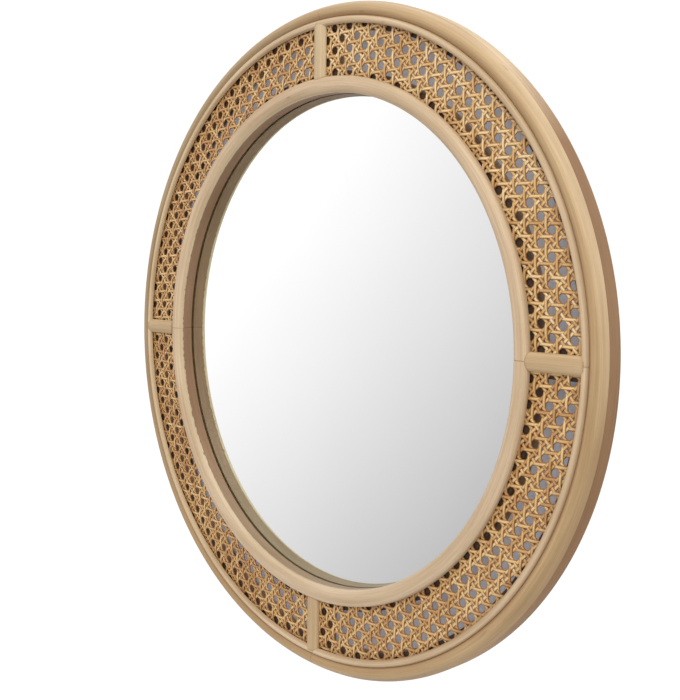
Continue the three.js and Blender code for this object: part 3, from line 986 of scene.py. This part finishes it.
# %% The tree of a cane panel
def trim_to_quarter(tree, given, geometry):
    """Deletes every point outside the quarter ring that the panel covers"""
    place = add_node(tree, "GeometryNodeInputPosition").outputs[0]
    x, z, _ = split(tree, vector_calc(tree, "MULTIPLY", place, given["Quarter"]))
    radius = calc(tree, "SQRT", calc(tree, "ADD", calc(tree, "MULTIPLY", x, x), calc(tree, "MULTIPLY", z, z)))
    outside = calc(tree, "GREATER_THAN", radius, given["Outer Radius"])
    inside = calc(tree, "LESS_THAN", radius, given["Inner Radius"])
    beside = calc(tree, "LESS_THAN", calc(tree, "MINIMUM", x, z), given["Edge Distance"])
    away = calc(tree, "ADD", calc(tree, "ADD", outside, inside), beside)
    return shape_node(tree, "GeometryNodeDeleteGeometry", geometry,
                      {"Selection": calc(tree, "GREATER_THAN", away, 0.5)}, domain="POINT")


def strand_profile(tree, given):
    """A flat-backed strand with a rounded top, and its across attribute"""
    circle = add_node(tree, "GeometryNodeCurvePrimitiveCircle")
    circle.inputs["Resolution"].default_value = 8
    circle.inputs["Radius"].default_value = 1.0
    sideways, upward, _ = split(tree, add_node(tree, "GeometryNodeInputPosition").outputs[0])
    width = calc(tree, "MULTIPLY", sideways, calc(tree, "MULTIPLY", given["Strand Width"], 0.5))
    flattened = calc(tree, "MAXIMUM", upward, -0.75)
    height = calc(tree, "MULTIPLY", flattened, calc(tree, "MULTIPLY", given["Strand Thickness"], 0.55))
    marked = store(tree, circle.outputs[0], ACROSS_NAME, width)
    return shape_node(tree, "GeometryNodeSetPosition", marked, {"Position": combine(tree, width, height)})


def cane_panel_tree():
    tree = bpy.data.node_groups.new("Cane panel", "GeometryNodeTree")
    tree.is_modifier = True
    group_sockets(tree, [
        (VECTOR, ["Hole", "Row", "Column", "Quarter"]),
        (NUMBER, ["Outer Radius", "Inner Radius", "Edge Distance", "Middle Depth"]),
        (NUMBER, ["Strand Width", "Strand Thickness", "Single Lift", "Pair Lift", "Pair Spread"]),
        (NUMBER, ["Wander", "Tone"]),
        (WHOLE, ["Seed"]),
        ("NodeSocketMaterial", ["Material"]),
    ], "Geometry")
    given = add_node(tree, "NodeGroupInput").outputs
    lines = trim_to_quarter(tree, given, join_families(tree, given))
    curves = shape_node(tree, "GeometryNodeMeshToCurve", lines)
    level = shape_node(tree, "GeometryNodeSetCurveNormal", curves, mode="Z_UP")
    length = add_node(tree, "GeometryNodeSplineParameter").outputs["Length"]
    measured = store(tree, level, ALONG_NAME, length)
    swept = shape_node(tree, "GeometryNodeCurveToMesh", measured,
                       {"Profile Curve": strand_profile(tree, given), "Fill Caps": True})
    smooth = shape_node(tree, "GeometryNodeSetShadeSmooth", swept)

    # Stand the weave up in the XZ plane, with its face toward -Y
    forward = combine(tree, 0.0, calc(tree, "MULTIPLY", given["Middle Depth"], -1.0))
    upright = shape_node(tree, "GeometryNodeTransform", smooth,
                         {"Translation": forward, "Rotation": (math.radians(90), 0.0, 0.0)})
    real = shape_node(tree, "GeometryNodeRealizeInstances", upright)
    finished = shape_node(tree, "GeometryNodeSetMaterial", real, {"Material": given["Material"]})
    feed(tree, add_node(tree, "NodeGroupOutput").inputs[0], finished)
    return tree


cane_panel = cane_panel_tree()
print("the tree of a panel has", len(cane_panel.nodes), "nodes")

# %% [markdown]
# ## Four panels
#
# Each quarter was cut and stretched on its own, so its rows tilt by a different small angle.
# The spacings below are half the distance between holes, in millimetres, and the hole is the
# centre of one hole, with +X to the right and +Z up.

# %% Weave the four panels
# Each panel's tone shifts all its strands: the top right panel is lightest and the others darker, which is
# painted light and shade for light that falls from the upper right
PANELS = {
    "top_right": {"quarter": (1, 1), "across": 9.73, "up": 9.83, "tilt": -2.0, "lean": 1.7,
                  "hole": (194.6, 197.0), "tone": 0.0},
    "top_left": {"quarter": (-1, 1), "across": 9.77, "up": 9.76, "tilt": 2.1, "lean": -2.1,
                 "hole": (-188.6, 193.3), "tone": -0.2},
    "bottom_left": {"quarter": (-1, -1), "across": 9.55, "up": 9.86, "tilt": -2.0, "lean": 2.3,
                    "hole": (-176.2, -174.7), "tone": -0.3},
    "bottom_right": {"quarter": (1, -1), "across": 9.6, "up": 9.68, "tilt": 1.4, "lean": -3.8,
                     "hole": (180.5, -178.2), "tone": -0.25},
}
SINGLE_LIFT = 0.64 * MM
PAIR_LIFT = 0.36 * MM
HIDDEN_LAP = 2.7 * MM
LINE_WANDER = 0.02


def set_inputs(modifier, tree, **values):
    """Sets a modifier's inputs by their names in the tree, through each socket's identifier"""
    for item in tree.interface.items_tree:
        key = item.name.lower().replace(" ", "_")
        if item.in_out == "INPUT" and key in values:
            modifier[item.identifier] = values[key]


def weave_panel(place, panel, seed):
    tilt, lean = math.radians(panel["tilt"]), math.radians(panel["lean"])
    across, up = panel["across"] * MM, panel["up"] * MM
    piece = add_object(f"Cane_{place}", bpy.data.meshes.new(f"Cane_{place}"))
    modifier = piece.modifiers.new("Weave", "NODES")
    modifier.node_group = cane_panel
    set_inputs(
        modifier, cane_panel,
        hole=(panel["hole"][0] * MM, panel["hole"][1] * MM, 0.0),
        row=(across * math.cos(tilt), across * math.sin(tilt), 0.0),
        column=(-up * math.sin(lean), up * math.cos(lean), 0.0),
        quarter=(float(panel["quarter"][0]), float(panel["quarter"][1]), 0.0),
        outer_radius=BEAD_INNER_RADIUS + HIDDEN_LAP,
        inner_radius=RING_LIP_RADIUS - HIDDEN_LAP,
        edge_distance=SPOKE_WIDTH / 2 - HIDDEN_LAP,
        middle_depth=(WEAVE_FRONT_DEPTH + WEAVE_BACK_DEPTH) / 2,
        strand_width=STRAND_WIDTH,
        strand_thickness=STRAND_THICKNESS,
        single_lift=SINGLE_LIFT,
        pair_lift=PAIR_LIFT,
        pair_spread=PAIR_SPREAD,
        wander=LINE_WANDER,
        tone=panel["tone"],
        seed=seed,
        material=cane,
    )
    bpy.context.view_layer.update()
    woven = piece.evaluated_get(bpy.context.evaluated_depsgraph_get())
    piece.data = bpy.data.meshes.new_from_object(woven)
    piece.modifiers.remove(piece.modifiers["Weave"])
    return piece


for number, (place, panel) in enumerate(PANELS.items()):
    woven_panel = weave_panel(place, panel, seed=10 * number)
    dress(woven_panel, f"cane_panel_{place}")

# %% [markdown]
# ## The frame behind the cane
#
# Behind the cane, two flat hoops and four bars hold everything together. From the front they
# only show as dark walls inside the holes, which are darkened with painted shade, and from the
# back they are plain sawn wood. They use the same sweeps, with square sections and eased edges.

# %% Plain wood material
def plain_wood(name, pale, deep, shade_colour):
    material, tree, shader = new_material(name, {"Roughness": 0.75})
    figure = grain_noise(tree, 14.0, 220.0, detail=5.0, roughness=0.6)
    saw = grain_noise(tree, 900.0, 60.0, detail=2.0)
    colour = ramp(tree, figure, (0.33, deep), (0.63, pale))
    feed(tree, shader.inputs["Base Color"], mix_colours(tree, attribute(tree, SHADE_AND_STAIN_NAME), colour, shade_colour))
    bump(tree, shader, calc(tree, "ADD", figure, calc(tree, "MULTIPLY", saw, 0.4)), 0.0003, strength=0.6)
    return material


# The third colour is painted shade, for the walls that face into the cavity
frame_wood = plain_wood("Frame wood", (0.42, 0.27, 0.14, 1), (0.27, 0.155, 0.07, 1), (0.036, 0.014, 0.006, 1))


# %% Hoops and bars
EASE = 0.6 * MM
FRAME_FRONT_DEPTH = WEAVE_BACK_DEPTH - 0.2 * MM
CAVITY_SHADE = 0.95
NO_SHADE = 0.0
HOOPS = {
    "outer": (WIDE_HOOP_INNER_RADIUS, WIDE_HOOP_OUTER_RADIUS),
    "inner": (SMALL_HOOP_INNER_RADIUS, SMALL_HOOP_OUTER_RADIUS),
}


def eased_box(low_side, high_side):
    """A rectangle with eased corners, as (side, depth, darkening) points. All but its back carry painted
    shade.
    """
    front = FRAME_FRONT_DEPTH
    outline = [
        (low_side, EASE), (low_side + EASE, 0.0),
        (high_side - EASE, 0.0), (high_side, EASE),
        (high_side, front - EASE), (high_side - EASE, front),
        (low_side + EASE, front), (low_side, front - EASE),
    ]
    return [(side, depth, CAVITY_SHADE if depth > EASE else NO_SHADE) for side, depth in outline]


for place, radii in HOOPS.items():
    hoop_section = [(radius, depth, stain, 0.0) for radius, depth, stain in eased_box(*radii)]
    hoop = bent_rod(f"Back_hoop_{place}", hoop_section, (45, 405), 5.0 * MM, frame_wood, wander=0.0)
    dress(hoop, f"back_hoop_{place}")

bar_start = SMALL_HOOP_OUTER_RADIUS + FIT_GAP
bar_end = WIDE_HOOP_INNER_RADIUS - FIT_GAP
bar_section = [(offset, depth, bar_start, bar_end, stain, 0.0)
               for offset, depth, stain in eased_box(-BAR_WIDTH / 2, BAR_WIDTH / 2)]
for place, turn in ROD_TURNS.items():
    bar = radial_piece(f"Back_bar_{place}", bar_section, turn, frame_wood)
    dress(bar, f"back_bar_{place}")

# %% [markdown]
# ## Glass and back board
#
# The solids of the glass and of the board already have the right shape, so they stay and only
# get a finish. A mirror is smooth metal with a faint green tint. The board is pressed fibre,
# brown and mottled, with coordinates taken from the object because it has no grain to follow.

# %% Finishes for the glass and the board
def mirror_material():
    material, tree, shader = new_material("Mirror", {"Roughness": 0.012, "Metallic": 1.0})
    haze = noise_node(tree, object_place(tree), 6.0, detail=2.0)
    colour = ramp(tree, haze, (0.35, (0.837, 0.934, 0.894, 1)), (0.65, (0.852, 0.949, 0.909, 1)))
    feed(tree, shader.inputs["Base Color"], colour)
    return material


def board_material():
    material, tree, shader = new_material("Pressed fibre", {"Roughness": 0.85})
    place = object_place(tree)
    fibres = noise_node(tree, place, 900.0, detail=4.0, roughness=0.7)
    mottle = noise_node(tree, place, 60.0, detail=3.0)
    base = ramp(tree, mottle, (0.35, (0.245, 0.145, 0.07, 1)), (0.65, (0.285, 0.17, 0.085, 1)))
    flecks = ramp(tree, fibres, (0.38, (0.65, 0.6, 0.55, 1)), (0.62, WHITE))
    feed(tree, shader.inputs["Base Color"], multiply(tree, 0.8, base, flecks))
    bump(tree, shader, fibres, 0.0002, strength=0.5)
    return material


for node, material in (("mirror_glass", mirror_material()), ("back_board", board_material())):
    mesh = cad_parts[node].data
    mesh.materials.clear()
    mesh.materials.append(material)
    print(node, "is finished with", material.name)

# %% [markdown]
# ## Camera
#
# The photograph was taken close to the mirror, a little over half a right angle to one side,
# and then cropped. The angles and the distance below give the same oval and the same
# foreshortening. A small vertical shift stands for the crop.

# %% Camera
CAMERA_AZIMUTH = 47.70
CAMERA_ELEVATION = 2.59
CAMERA_ROLL = 0.77
CAMERA_DISTANCE = 901.6 * MM
CAMERA_TARGET = Vector((10.4 * MM, 0.0, 24.6 * MM))
CAMERA_LENS = 50.12
CAMERA_SHIFT = -0.0507


def add_camera():
    azimuth, elevation, roll = (math.radians(a) for a in (CAMERA_AZIMUTH, CAMERA_ELEVATION, CAMERA_ROLL))
    away = Vector((
        math.sin(azimuth) * math.cos(elevation),
        -math.cos(azimuth) * math.cos(elevation),
        math.sin(elevation),
    ))
    level_right = Vector((0, 0, 1)).cross(away).normalized()
    level_up = away.cross(level_right)
    right = level_right * math.cos(roll) + level_up * math.sin(roll)
    up = level_up * math.cos(roll) - level_right * math.sin(roll)
    data = bpy.data.cameras.new("Camera")
    data.lens = CAMERA_LENS
    data.shift_y = CAMERA_SHIFT
    data.clip_start = 0.05
    camera = add_object("Camera", data)
    turn = Matrix((right, up, away)).transposed()
    camera.matrix_world = Matrix.Translation(CAMERA_TARGET + away * CAMERA_DISTANCE) @ turn.to_4x4()
    bpy.context.scene.camera = camera
    return camera


camera = add_camera()
print("camera at", [round(v, 3) for v in camera.location])

# %% [markdown]
# ## Light and stage
#
# The studio is bright and even, and a little brighter toward the upper right. In front and to
# the left stands a screen that fades from white at its upper left to pale grey at its lower
# right, which is what the glass mirrors. The screen is a little pink, which makes up for the
# green tint of the glass. One large soft light at the upper right gives the rods their shape,
# and another one lights the back. The mirror hangs in front of a pale patch of wall, which is
# what the holes of the cane show, and a pale floor lies well below.

# %% World
SCREEN_COLOUR = (1.102, 0.986, 1.032)
ROOM_COLOUR = (1.0, 1.0, 1.0)
SCREEN_SLOPE = (-0.909, 0.0, 0.416)


def studio_world():
    world = bpy.data.worlds.new("Studio")
    bpy.context.scene.world = world
    world.use_nodes = True
    tree = world.node_tree
    direction = add_node(tree, "ShaderNodeTexCoord").outputs["Generated"]
    across, away, up = split(tree, direction)

    slope = vector_calc(tree, "DOT_PRODUCT", direction, SCREEN_SLOPE)
    screen = vector_calc(tree, "SCALE", SCREEN_COLOUR, map_range(tree, slope, 0.44, 0.78, 0.53, 1.22))
    on_left = map_range(tree, across, -0.42, -0.55)
    in_front = map_range(tree, away, -0.20, -0.40)
    below_top = map_range(tree, up, 0.45, 0.28)
    on_screen = calc(tree, "MULTIPLY", calc(tree, "MULTIPLY", on_left, in_front), below_top)

    overhead = map_range(tree, calc(tree, "MULTIPLY_ADD", across, 0.35, up), -0.7, 0.8, 0.32, 1.0)
    behind = map_range(tree, away, -0.1, 0.15, 0.0, 1.05)
    room = vector_calc(tree, "SCALE", ROOM_COLOUR, calc(tree, "MAXIMUM", overhead, behind))
    feed(tree, tree.nodes["Background"].inputs["Color"], mix_colours(tree, on_screen, room, screen))


studio_world()


# %% Lights
def area_light(name, place, size, power):
    """A round soft light that shines at the middle of the mirror's back"""
    data = bpy.data.lights.new(name, "AREA")
    data.shape = "DISK"
    data.size = size
    data.energy = power
    light = add_object(name, data)
    light.location = place
    light.rotation_euler = (Vector((0, 0, 0)) - Vector(place)).to_track_quat("-Z", "Y").to_euler()


area_light("Key", (0.9, -1.0, 1.2), size=1.0, power=12)
area_light("Back fill", (0.0, 2.5, 0.6), size=2.0, power=30)


# %% [markdown]
# ## Floor and wall
#
# The patch of wall can't be seen from behind, and it casts no shadow. The mirror's shadow on it
# is painted: it is pale as far out as the open cane and dark beyond, and the dark part starts
# nearer the middle at the left. Its pale part glows very faintly, which is painted light for a
# wall that more light reaches than this small patch can catch.

# %% Stage
FLOOR_DROP = 1.4
WALL_GAP = 3 * MM
WALL_GLOW = 0.09
WALL_COLOUR = (0.66, 0.75, 0.93, 1)
GLOW_COLOUR = (0.70, 0.79, 1.0, 1)
SHADED_COLOUR = (0.02, 0.015, 0.012, 1)
SHADE_START = 284.5 * MM
SHADE_END = 290.5 * MM
SHADE_LEAN = -0.045


def disc_mesh(name, radius, transform, material):
    mesh = bpy.data.meshes.new(name)
    shape = bmesh.new()
    bmesh.ops.create_circle(shape, cap_ends=True, radius=radius, segments=96)
    shape.to_mesh(mesh)
    shape.free()
    mesh.transform(transform)
    mesh.materials.append(material)
    return mesh


def floor():
    paint = new_material("Floor paint", {"Roughness": 0.7, "Base Color": (0.8, 0.8, 0.79, 1)})[0]
    return disc_mesh("Floor", 2.0, Matrix.Translation((0, 0, -FLOOR_DROP)), paint)


def wall_patch():
    paint, tree, shader = new_material("Wall paint", {"Roughness": 0.9, "Emission Color": GLOW_COLOUR})
    leftward = calc(tree, "MULTIPLY_ADD", object_axis(tree, "X"), SHADE_LEAN, centre_distance(tree))
    # Painted shadow: dark beyond the open cane, starting nearer the middle at the left
    lit = map_range(tree, leftward, SHADE_START, SHADE_END, 1.0, 0.05)
    feed(tree, shader.inputs["Emission Strength"], calc(tree, "MULTIPLY", lit, WALL_GLOW))
    feed(tree, shader.inputs["Base Color"], mix_colours(tree, lit, SHADED_COLOUR, WALL_COLOUR))
    clear = add_node(tree, "ShaderNodeBsdfTransparent").outputs[0]
    backward = add_node(tree, "ShaderNodeNewGeometry").outputs["Backfacing"]
    sides = add_node(tree, "ShaderNodeMixShader")
    for socket, value in zip(sides.inputs, (backward, shader.outputs[0], clear)):
        feed(tree, socket, value)
    feed(tree, tree.nodes["Material Output"].inputs["Surface"], sides.outputs[0])
    upright = Matrix.Translation((0, WALL_GAP, 0)) @ Matrix.Rotation(math.radians(90), 4, "X")
    return disc_mesh("Wall patch", WIDE_HOOP_OUTER_RADIUS, upright, paint)


for mesh in (floor(), wall_patch()):
    prop = add_object(mesh.name, mesh)
    if mesh.name == "Wall patch":
        prop.visible_shadow = False

bpy.context.scene.view_settings.view_transform = "Standard"
